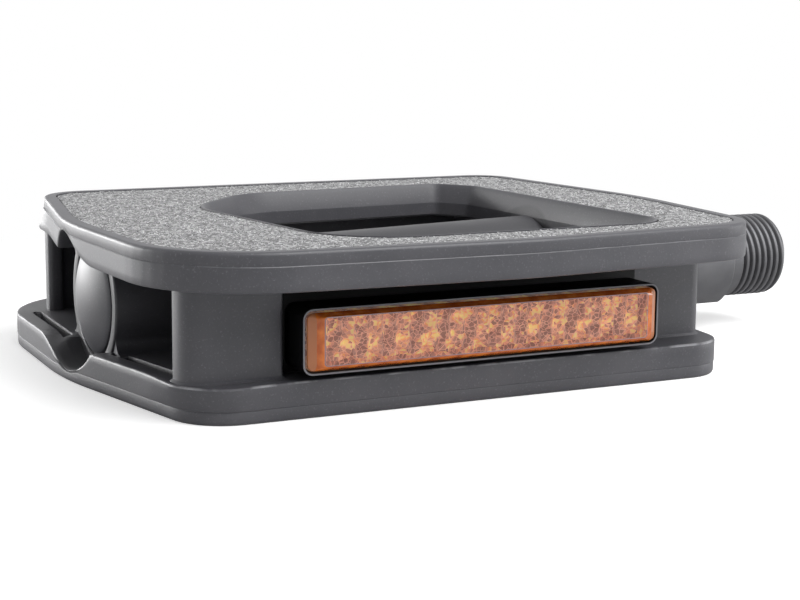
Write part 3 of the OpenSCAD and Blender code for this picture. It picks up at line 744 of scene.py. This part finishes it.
def tray_shell():
    """The tray's rim and cavity, with the edges of the rim rounded off."""
    front = tray_low.y
    return capped([tray_ring(inset, y) for inset, y in (
        (0, RECESS_Y - 0.2 * MM), (0, front + RIM_EDGE), (0.3 * RIM_EDGE, front + 0.3 * RIM_EDGE),
        (RIM_EDGE, front), (TRAY_WALL - 0.25 * RIM_EDGE, front + 0.2 * RIM_EDGE),
        (TRAY_WALL, front + 3 * RIM_EDGE), (TRAY_WALL, front + CAVITY_DEPTH))])


def rounded_block(low, high, edge=0.2 * MM):
    """Points and faces of a box with every edge cut to a small bevel."""
    work = bmesh.new()
    bmesh.ops.create_cube(work, size=1)
    span, middle = Vector(high) - Vector(low), (Vector(high) + Vector(low)) / 2
    bmesh.ops.transform(work, matrix=Matrix.LocRotScale(middle, None, span), verts=work.verts)
    bmesh.ops.bevel(work, geom=work.edges, offset=edge, segments=2, profile=0.5, affect="EDGES")
    work.verts.index_update()
    points = np.array([v.co for v in work.verts])
    faces = [tuple(v.index for v in f.verts) for f in work.faces]
    work.free()
    return points, faces


# The black base plate over the recess's back wall is painted shade
tray_parts = [tray_shell(), rounded_block(
    (X_OUT + CORNER_SET + CORNER_LEN + BASE_GAP, RECESS_Y - BASE_T, -Z_UNDER + BASE_GAP),
    (tray_high.x, RECESS_Y, Z_UNDER - BASE_GAP))]
# Each hook is an arm through the wall and a barb behind it
for hook_x in (TRAY_X - HOOK_SPREAD, TRAY_X + HOOK_SPREAD):
    for y0, top in ((RECESS_Y - 0.6 * MM, HOOK_HALF_T), (RECESS_Y + WALL_T + 0.15 * MM, 2 * HOOK_HALF_T)):
        tray_parts.append(rounded_block((hook_x - HOOK_HALF_W, y0, TRAY_Z - HOOK_HALF_T),
                                        (hook_x + HOOK_HALF_W, tray_high.y, TRAY_Z + top)))
black_plastic = moulded_material(
    "black_plastic", (0.0022, 0.0021, 0.0026), (0.004, 0.004, 0.0045), (0.34, 0.46),
    0.2 * MM, 9 * MM, 0.012 * MM)
tree, shader, colour = opened(black_plastic)
# A pale line painted along the front edge of the rim is a painted highlight
off_middle = maths(tree, "ABSOLUTE", split(tree, coordinates(tree))["Y"])
painted_rim_highlight = ranged(tree, off_middle, (abs(tray_low.y) - 0.05 * MM, abs(tray_low.y)))
fed(tree, shader, {
    "Base Color": mixed(tree, painted_rim_highlight, colour, (0.24, 0.24, 0.26)), "Specular IOR Level": 0.08})
for node, parts in (("reflector_housing_front", tray_parts),
                    ("reflector_housing_rear", [(half_turn(points), faces) for points, faces in tray_parts])):
    tray = piece_from(node + "_tray", parts, sharp=40)
    made_of(tray, black_plastic)
    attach(tray, "platform")
    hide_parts(node)

# ---- Reflector lenses ----
# One block of clear amber acrylic with sloped front edges. Its back is moulded into cube-corner
# prisms, and a skirt round them is welded into the tray, so air stays behind the prisms.
lens_low, lens_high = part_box("reflector_lens_front")
LENS_LEN = lens_high.x - lens_low.x
LENS_H = lens_high.z - lens_low.z
LENS_FACE = 2.3 * MM
LENS_SOFT = 0.15 * MM
LENS_LIFT = np.array([0, 0, 0.15 * MM])
# How far in from the block's ends and from its long sides the slope and the flat face begin
SLOPE_IN = (1.1 * MM, 0.4 * MM)
FACE_IN = (2.2 * MM, 0.75 * MM)
WINDOW_IN = (0.35 * MM, 0.2 * MM)
PRISM_SIDE = 1.4 * MM
PRISM_DEPTH = math.sqrt(2) * PRISM_SIDE
PRISM_PITCH = (1.5 * PRISM_SIDE, math.sqrt(3) * PRISM_SIDE)


def prism_cell():
    """Three square faces that meet at a point, as seen from the front a regular hexagon."""
    points = [(0, PRISM_DEPTH, 0)]
    for k in range(6):
        x, z = around(PRISM_SIDE, math.radians(60 * k))
        points.append((x, 0 if k % 2 else PRISM_DEPTH / 2, z))
    mesh = bpy.data.meshes.new("prism_cell")
    mesh.from_pydata(points, [], [(0, 1, 2, 3), (0, 3, 4, 5), (0, 5, 6, 1)])
    return linked("prism_cell", mesh)


# Cells stand on a hexagonal grid, every second column half a cell up
prism_tree, given, out = geometry_tree("prism_sheet", {
    "Columns": "NodeSocketInt", "Rows": "NodeSocketInt", "Side": "NodeSocketFloat",
    "Finish": "NodeSocketMaterial"})
tree = prism_tree
grid = placed(tree, "GeometryNodeMeshGrid", {
    "Vertices X": given["Columns"], "Vertices Y": given["Rows"]})
index = placed(tree, "GeometryNodeInputIndex").outputs[0]
column = maths(tree, "FLOOR", maths(tree, "DIVIDE", index, given["Rows"]))
row = maths(tree, "MODULO", index, given["Rows"])
half_up = maths(tree, "MULTIPLY", maths(tree, "MODULO", column, 2.0), 0.5)
pitch_x = maths(tree, "MULTIPLY", given["Side"], 1.5)
pitch_z = maths(tree, "MULTIPLY", given["Side"], math.sqrt(3))
at = placed(tree, "ShaderNodeCombineXYZ", {
    "X": maths(tree, "MULTIPLY", column, pitch_x),
    "Z": maths(tree, "MULTIPLY", maths(tree, "ADD", row, half_up), pitch_z)})
moved = placed(tree, "GeometryNodeSetPosition", {
    "Geometry": grid.outputs["Mesh"], "Position": at.outputs[0]})
many = placed(tree, "GeometryNodeInstanceOnPoints", {
    "Points": moved.outputs[0], "Instance": given["Geometry"]})
whole = placed(tree, "GeometryNodeRealizeInstances", {"Geometry": many.outputs[0]})
joined = placed(tree, "GeometryNodeMergeByDistance", {
    "Geometry": whole.outputs[0], "Distance": 0.01 * MM})
finished(tree, out, joined.outputs[0], given["Finish"])


def carved(piece, tool, operation):
    """The piece after an exact boolean with a tool, which is used up."""
    modifier = piece.modifiers.new("carve", "BOOLEAN")
    modifier.object, modifier.operation, modifier.solver = tool, operation, "EXACT"
    seen = piece.evaluated_get(bpy.context.evaluated_depsgraph_get())
    mesh = bpy.data.meshes.new_from_object(seen)
    piece.modifiers.clear()
    piece.data = mesh
    bpy.data.objects.remove(tool)
    return piece


amber_lens, tree, shader = new_finish("amber_lens")
streaks = noise(tree, coordinates(tree), 6 * MM, 3.0)
fed(tree, shader, {
    "Base Color": ramped(tree, streaks, (0.3, (0.98, 0.87, 0.78)), (0.7, (1.0, 0.90, 0.83))),
    "Roughness": 0.03, "Transmission Weight": 1.0, "IOR": 1.49})

# Painted glints: the prisms are painted in broken patches, cream where a facet would catch the light and
# mauve beside it, with pale painted glints along the seams
PATCH_SIZE = 0.75 * MM
painted_prism_glints, tree, shader = new_finish("painted_prism_glints")
where = coordinates(tree)
patches = placed(tree, "ShaderNodeTexVoronoi", {"Vector": where, "Scale": 1 / PATCH_SIZE})
seams = placed(tree, "ShaderNodeTexVoronoi", {"Vector": where, "Scale": 1 / PATCH_SIZE},
               feature="DISTANCE_TO_EDGE")
slanted = placed(tree, "ShaderNodeCombineXYZ", {
    "X": vector_maths(tree, "DOT_PRODUCT", where, (1, 0, -0.35)), "Z": split(tree, where)["Z"]})
by_cell = vector_maths(tree, "MULTIPLY", slanted.outputs[0], (
    1 / (3 * PRISM_SIDE), 0, 1 / (math.sqrt(3) * PRISM_SIDE)))
broken = vector_maths(tree, "MULTIPLY", patches.outputs["Color"], (0.50, 0, 0.60))
in_cell = vector_maths(tree, "FRACTION", vector_maths(tree, "ADD", by_cell, broken))
centred = vector_maths(tree, "SUBTRACT", in_cell, (0.5, 0, 0.5))
reach = vector_maths(tree, "LENGTH", vector_maths(tree, "MULTIPLY", centred, (2.0, 0, 1.0)))
glint_tone = ramped(tree, reach, (0.0, (1.0, 0.82, 0.36)), (0.28, (1.0, 0.55, 0.24)),
              (0.36, (0.74, 0.42, 0.31)), (0.54, (0.54, 0.30, 0.25)), (0.74, (0.38, 0.20, 0.17)),
              steps="CONSTANT")
seam_glint = ranged(tree, seams.outputs["Distance"], (0.02, 0.08), (0.8, 0.0))
colour = mixed(tree, seam_glint, glint_tone, (1.0, 0.66, 0.50))
# The emission makes the painted prism colours glow a little, though they are no lamp
fed(tree, shader, {
    "Base Color": colour, "Emission Color": colour, "Emission Strength": 0.16, "Roughness": 0.3})

# Painted light: the slopes are painted the deep, even orange that light passing along the acrylic gives them,
# duller at the two ends, and a grey painted highlight where they meet the flat face
painted_slope_light, tree, shader = new_finish("painted_slope_light")
where = coordinates(tree)
sides = split(tree, where)
colour = ramped(tree, noise(tree, where, 1.6 * MM, 4.0),
                (0.35, (0.40, 0.07, 0.004)), (0.65, (0.66, 0.17, 0.02)))
along = maths(tree, "ABSOLUTE", maths(tree, "SUBTRACT", sides["X"], TRAY_X))
at_end = maths(tree, "GREATER_THAN", along, LENS_LEN / 2 - SLOPE_IN[0])
colour = mixed(tree, at_end, colour, (0.44, 0.155, 0.06))
# Painted highlight: grey along the slopes' front edge
off_middle = maths(tree, "ABSOLUTE", sides["Y"])
at_front = maths(tree, "GREATER_THAN", off_middle, abs(lens_low.y) - 0.05 * MM)
colour = mixed(tree, at_front, colour, (0.30, 0.22, 0.24))
fed(tree, shader, {"Base Color": colour, "Roughness": 0.12})


def lens_ring(inset, softened, radius, y):
    """A ring of the block this far in from its ends and sides, less what a soft edge takes."""
    return framed_ring(LENS_LEN - 2 * (inset[0] - softened), LENS_H - 2 * (inset[1] - softened), radius, y)


def prism_pocket(face_len, face_h):
    """The air behind the lens as a solid, whose front is the sheet of prisms."""
    columns = int((face_len + 6 * PRISM_SIDE) / PRISM_PITCH[0])
    rows = int((face_h + 6 * PRISM_SIDE) / PRISM_PITCH[1])
    sheet = grown("prism_sheet", prism_cell(), prism_tree, {
        "Columns": columns, "Rows": rows, "Side": PRISM_SIDE, "Finish": amber_lens})
    corner_x = TRAY_X - PRISM_PITCH[0] * (columns - 1) / 2
    corner_z = TRAY_Z - PRISM_PITCH[1] * (rows - 0.5) / 2
    sheet.data.transform(Matrix.Translation((corner_x, lens_low.y + LENS_FACE, corner_z)))
    work = bmesh.new()
    work.from_mesh(sheet.data)
    skirt = bmesh.ops.extrude_edge_only(work, edges=[e for e in work.edges if e.is_boundary])
    for part in skirt["geom"]:
        if isinstance(part, bmesh.types.BMVert):
            part.co.y = lens_high.y + 1 * MM
    bmesh.ops.contextual_create(work, geom=[e for e in work.edges if e.is_boundary])
    bmesh.ops.recalc_face_normals(work, faces=work.faces)
    work.to_mesh(sheet.data)
    work.free()
    window = piece_from("prism_window", [capped([
        framed_ring(face_len - 2 * WINDOW_IN[0], face_h - 2 * WINDOW_IN[1], 0.3 * MM, y) + LENS_LIFT
        for y in (lens_low.y + 0.5 * LENS_FACE, lens_high.y + 0.5 * MM)])])
    return carved(sheet, window, "INTERSECT")


shoulder_y = tray_low.y
block = piece_from("lens_block", [capped([
    lens_ring((0, 0), 0, 1.0 * MM, lens_high.y),
    lens_ring((0, 0), 0, 1.0 * MM, shoulder_y + LENS_SOFT),
    lens_ring((0, 0), -LENS_SOFT / 2, 0.95 * MM, shoulder_y - 0.3 * LENS_SOFT),
    lens_ring(SLOPE_IN, 0, 0.9 * MM, lens_low.y + 0.45 * MM),
    lens_ring(FACE_IN, LENS_SOFT, 0.5 * MM, lens_low.y + 0.4 * LENS_SOFT) + LENS_LIFT,
    lens_ring(FACE_IN, 0, 0.4 * MM, lens_low.y) + LENS_LIFT,
])], sharp=20)
block = carved(block, prism_pocket(LENS_LEN - 2 * FACE_IN[0], LENS_H - 2 * FACE_IN[1]), "DIFFERENCE")
lens_points = np.array([v.co for v in block.data.vertices])
lens_faces = [tuple(p.vertices) for p in block.data.polygons]
bpy.data.objects.remove(block)
for node, points in (("reflector_lens_front", lens_points), ("reflector_lens_rear", half_turn(lens_points))):
    lens = piece_from(node + "_block", [(points, lens_faces)], sharp=5)
    made_of(lens, amber_lens, painted_prism_glints, painted_slope_light)
    for face in lens.data.polygons:
        behind = abs(face.center.y) < abs(shoulder_y) - LENS_SOFT
        sloped = abs(face.center.y) < abs(lens_low.y) - 0.05 * LENS_SOFT
        face.material_index = 1 if behind else 2 if sloped else 0
    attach(lens, "platform")
    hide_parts(node)

# ---- Spindle ----
# Forged and turned steel with a dark phosphate finish. The crank end has a rolled 20-per-inch
# thread, and the collar behind it has two flats for a pedal wrench.
spindle_low, spindle_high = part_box("spindle")
THREAD_PITCH = 25.4 / 20 * MM
THREAD_R = 7.145 * MM
THREAD_DEPTH = 0.72 * MM
THREAD_BEVEL = 1.25 * MM
SHANK_LEN = 2.4 * MM
COLLAR_R = -spindle_low.y
COLLAR_X = X_IN - 0.7 * MM
FLAT_HALF = 7.5 * MM
FLAT_X0 = -15 * MM
SPINDLE_EDGE = 0.5 * MM
BALL_SEAT = math.sqrt(2) * 1.6175 * MM
KEY_HALF_W = 1.25 * MM
SPINDLE_STEPS = 128


def spindle_body():
    """The spindle without its crank thread, from the outboard end to the shoulder."""
    balls_low, balls_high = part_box("ball_ring_inboard")
    nose_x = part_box("adjusting_cone")[1].x
    end_r, slim_r, shaft_r, seat_r, edge = 3.5 * MM, 4.3 * MM, 4.9 * MM, 6.4 * MM, SPINDLE_EDGE
    race_x = (balls_low.x + balls_high.x) / 2 + BALL_SEAT - 6.9 * MM
    rings = [circle(x, r, SPINDLE_STEPS) for x, r in (
        (spindle_low.x, end_r - edge), (spindle_low.x + edge, end_r), (nose_x + edge, end_r),
        (nose_x + 3 * edge, slim_r), (race_x + shaft_r, shaft_r), (race_x + seat_r, seat_r),
        (COLLAR_X - 0.1 * MM, seat_r), (COLLAR_X, seat_r + 0.1 * MM), (COLLAR_X, COLLAR_R - 0.25 * MM),
        (COLLAR_X + 0.1 * MM, COLLAR_R - 0.08 * MM), (COLLAR_X + 0.25 * MM, COLLAR_R),
        (FLAT_X0, COLLAR_R))]
    # The flats run through the shoulder's rounded edge
    rings.append(circle(FLAT_X0, COLLAR_R, SPINDLE_STEPS, FLAT_HALF))
    rings += [circle(-back * edge, COLLAR_R - drop * edge, SPINDLE_STEPS, FLAT_HALF)
              for back, drop in ((1, 0), (0.55, 0.12), (0.12, 0.55), (0, 1))]
    rings += [circle(x, r, SPINDLE_STEPS)
              for x, r in ((0, THREAD_R - THREAD_DEPTH - 0.4 * MM), (0.2 * MM, 1 * MM))]
    return capped(rings)


def crank_thread(turn_steps=96, pitch_steps=16):
    """A right-hand thread: its columns run along the helix, so each crest is one line."""
    end_x = spindle_high.x
    pitches = int(end_x / THREAD_PITCH) + 3
    k, j = np.mgrid[0:pitches * pitch_steps + 1, 0:turn_steps + 1]
    cut = smooth((np.abs(k % pitch_steps / pitch_steps - 0.5) * 2 - 0.28) / 0.68)
    x = np.clip((k / pitch_steps - 2 + j / turn_steps) * THREAD_PITCH, -0.1 * MM, end_x)
    fade = smooth((x - SHANK_LEN) / (0.8 * MM))
    past = np.clip((x - (end_x - THREAD_BEVEL)) / THREAD_BEVEL, 0, 1)
    r = np.minimum(THREAD_R - THREAD_DEPTH * cut * fade, THREAD_R - (1 - np.sqrt(1 - past**2)) * 1.0 * MM)
    angle = 2 * math.pi * j / turn_steps
    points = np.stack([x, r * np.cos(angle), r * np.sin(angle)], 2).reshape(-1, 3)
    wide = turn_steps + 1
    faces = [(at, at + wide, at + wide + 1, at + 1)
             for row in range(len(k) - 1) for at in range(row * wide, row * wide + turn_steps)]
    return points, faces


spindle = piece_from("spindle_forging", [spindle_body()], sharp=25)
thread = piece_from("spindle_crank_thread", [crank_thread()], sharp=50, fill_ends=True)
keyway = piece_from("keyway_cutter", [rounded_block(
    (spindle_low.x - 1 * MM, -KEY_HALF_W, 2.6 * MM), (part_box("adjusting_cone")[0].x, KEY_HALF_W, 5 * MM),
    0.1 * MM)])
spindle = carved(spindle, keyway, "DIFFERENCE")

# Turned steel: fine lines round the axis, and slow stains
turned_steel, given, out = shader_group(
    "turned_steel", {"Line Size": 0.25 * MM, "Stain Size": 4 * MM}, ["Lines", "Stain"])
where = coordinates(turned_steel)
stretched = placed(turned_steel, "ShaderNodeMapping", {"Vector": where, "Scale": (1.0, 0.06, 0.06)})
fed(turned_steel, out, {
    "Lines": noise(turned_steel, stretched.outputs[0], given["Line Size"], 3.0, 0.6),
    "Stain": noise(turned_steel, where, given["Stain Size"], 4.0, 0.6)})


def steel_material(name, dark, light, roughness, line_size, stain_size, line_depth):
    """Steel whose colour and sheen change with its stains, and whose turning lines catch the light."""
    material, tree, shader = new_finish(name)
    colour = drifting(tree, shader, turned_steel, (line_size, stain_size), dark, light, (0.3, 0.7),
                      roughness, (0.4, line_depth))[0]
    fed(tree, shader, {"Base Color": colour, "Metallic": 1.0})
    return material


dark_steel = steel_material(
    "spindle_steel", (0.11, 0.11, 0.117), (0.16, 0.16, 0.167), (0.50, 0.58), 0.2 * MM, 9 * MM, 0.01 * MM)
for piece in (spindle, thread):
    made_of(piece, dark_steel)
    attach(piece, "spindle")
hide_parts("spindle")

# ---- Bearings ----
# Loose balls run between pressed cups and ground cones. A keyed washer and a thin nut lock the
# outboard cone. All are bright bearing steel.
bright_steel = steel_material(
    "bearing_steel", (0.50, 0.50, 0.52), (0.62, 0.62, 0.63), (0.18, 0.28), 0.1 * MM, 2 * MM, 0.003 * MM)
for node in ("bearing_cup_inboard", "bearing_cup_outboard", "ball_ring_inboard", "ball_ring_outboard",
             "adjusting_cone", "lock_washer", "lock_nut"):
    made_of(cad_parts[node], bright_steel)

# ---- End cap and dust seal ----
# A domed plastic cap snaps into the barrel's outboard mouth. A black rubber ring rubs on the
# spindle behind the collar and keeps grit out of the inboard balls.
cap_low, cap_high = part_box("end_cap")
CAP_R = 8.2 * MM
CAP_DOME = 2.0 * MM
CAP_T = 1.2 * MM
DOME_R = (CAP_R**2 + CAP_DOME**2) / (2 * CAP_DOME)
DOME_X = cap_low.x + DOME_R


def dome(radius, reach):
    return [(DOME_X - math.sqrt(radius**2 - r**2), r) for r in np.linspace(0.02 * MM, reach, 14)]


plug_r = cap_high.z
cap_profile = dome(DOME_R, CAP_R - 0.12 * MM) + [
    (BOSS_OUT + 0.08 * MM, CAP_R), (BOSS_OUT + 1.3 * MM, CAP_R), (BOSS_OUT + 1.4 * MM, plug_r),
    (cap_high.x - 0.3 * MM, plug_r), (cap_high.x, plug_r - 0.2 * MM), (cap_high.x, CAP_R - CAP_T),
    *reversed(dome(DOME_R - CAP_T, CAP_R - CAP_T))]
end_cap = piece_from("end_cap_dome", [turned(cap_profile, 160)], sharp=35)
cap_plastic = moulded_material(
    "cap_plastic", (0.050, 0.050, 0.058), (0.066, 0.066, 0.074), (0.46, 0.54), 0.3 * MM, 8 * MM, 0.008 * MM)
made_of(end_cap, cap_plastic)
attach(end_cap, "platform")
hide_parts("end_cap")
seal_rubber = moulded_material(
    "seal_rubber", (0.012, 0.012, 0.012), (0.022, 0.022, 0.022), (0.6, 0.75), 0.2 * MM, 3 * MM, 0.02 * MM)
made_of(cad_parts["dust_seal"], seal_rubber)

# ---- Studio ----
# A pale table and three soft lamps: a long low box behind the outboard side, a box high over the
# leading side, and a weak fill from inboard. The camera stands low at the leading outboard corner.
PLATFORM_MIDDLE = Vector(((X_OUT + X_IN) / 2, 0, 0))
floor_mesh = bpy.data.meshes.new("table")
floor_mesh.from_pydata(
    [(x, y, frame_low.z) for x, y in ((-20, -20), (20, -20), (20, 20), (-20, 20))], [], [(0, 1, 2, 3)])
table = linked("table", floor_mesh)


def blended(tree, share, under, over):
    """One shader shown over another as far as share says."""
    return placed(tree, "ShaderNodeMixShader", {0: share, 1: under, 2: over}).outputs[0]


paper, tree, shader = new_finish("paper_table")
fed(tree, shader, {"Base Color": (0.86, 0.86, 0.86, 1), "Roughness": 0.9, "Specular IOR Level": 0.1})
glow, white = (placed(tree, "ShaderNodeEmission", {
    "Color": (1, 1, 1, 1), "Strength": strength}).outputs[0] for strength in (0.5, 1.0))
lit = placed(tree, "ShaderNodeAddShader", {0: shader.outputs[0], 1: glow}).outputs[0]
# Seen by the camera, the paper glows a little and runs out to white away from the part
from_part = vector_maths(tree, "DISTANCE", coordinates(tree), tuple(PLATFORM_MIDDLE))
fading = blended(tree, ranged(tree, from_part, (0.06, 0.16)), lit, white)
seen_by = placed(tree, "ShaderNodeLightPath").outputs
choice = blended(tree, seen_by["Is Camera Ray"], shader.outputs[0], fading)
fed(tree, tree.nodes["Material Output"], {"Surface": choice})
made_of(table, paper)

# The world is white to the camera, in reflections and through the lens, and dim as a light
world = bpy.data.worlds.new("studio")
bpy.context.scene.world = world
world.use_nodes = True
tree = world.node_tree
seen_by = placed(tree, "ShaderNodeLightPath").outputs
direct = maths(tree, "MAXIMUM", seen_by["Is Camera Ray"], seen_by["Is Glossy Ray"])
shown = maths(tree, "MAXIMUM", direct, seen_by["Is Transmission Ray"])
fed(tree, tree.nodes["Background"], {
    "Color": (1, 1, 1, 1), "Strength": ranged(tree, shown, (0.0, 1.0), (0.2, 1.0))})


def softbox(name, azimuth, elevation, distance, wide, high, power):
    """A rectangular lamp that faces the platform. Azimuth 0 is the leading side, 90 the outboard one."""
    lamp = bpy.data.lights.new(name, "AREA")
    lamp.shape, lamp.size, lamp.size_y, lamp.energy = "RECTANGLE", wide, high, power
    a, e = math.radians(azimuth), math.radians(elevation)
    away = Vector((-math.sin(a) * math.cos(e), -math.cos(a) * math.cos(e), math.sin(e)))
    stand = linked(name, lamp)
    stand.location = PLATFORM_MIDDLE + away * distance
    stand.rotation_euler = (-away).to_track_quat("-Z", "Y").to_euler()


softbox("outboard_box", 148, 3, 0.6, 0.5, 0.15, 4)
softbox("overhead_box", -30, 52, 0.6, 0.5, 0.5, 4.4)
softbox("inboard_fill", -70, 5, 0.8, 0.5, 0.2, 1.5)

yaw, pitch, roll = (math.radians(d) for d in (26.912, 9.575, 0.542))
ahead = Vector((math.sin(yaw) * math.cos(pitch), math.cos(yaw) * math.cos(pitch), -math.sin(pitch)))
level = Vector((math.cos(yaw), -math.sin(yaw), 0))
upright = level.cross(ahead)
right = level * math.cos(roll) + upright * math.sin(roll)
up = upright * math.cos(roll) - level * math.sin(roll)
camera = bpy.data.cameras.new("camera")
camera.sensor_width, camera.lens = 36, 79.06
camera.clip_start, camera.clip_end = 0.01, 100
viewpoint = linked("camera", camera)
facing = Matrix((right, up, -ahead)).transposed().to_4x4()
viewpoint.matrix_world = Matrix.Translation(Vector((-187.72, -250.26, 43.66)) * MM) @ facing
bpy.context.scene.camera = viewpoint
bpy.context.scene.view_settings.view_transform = "Standard"
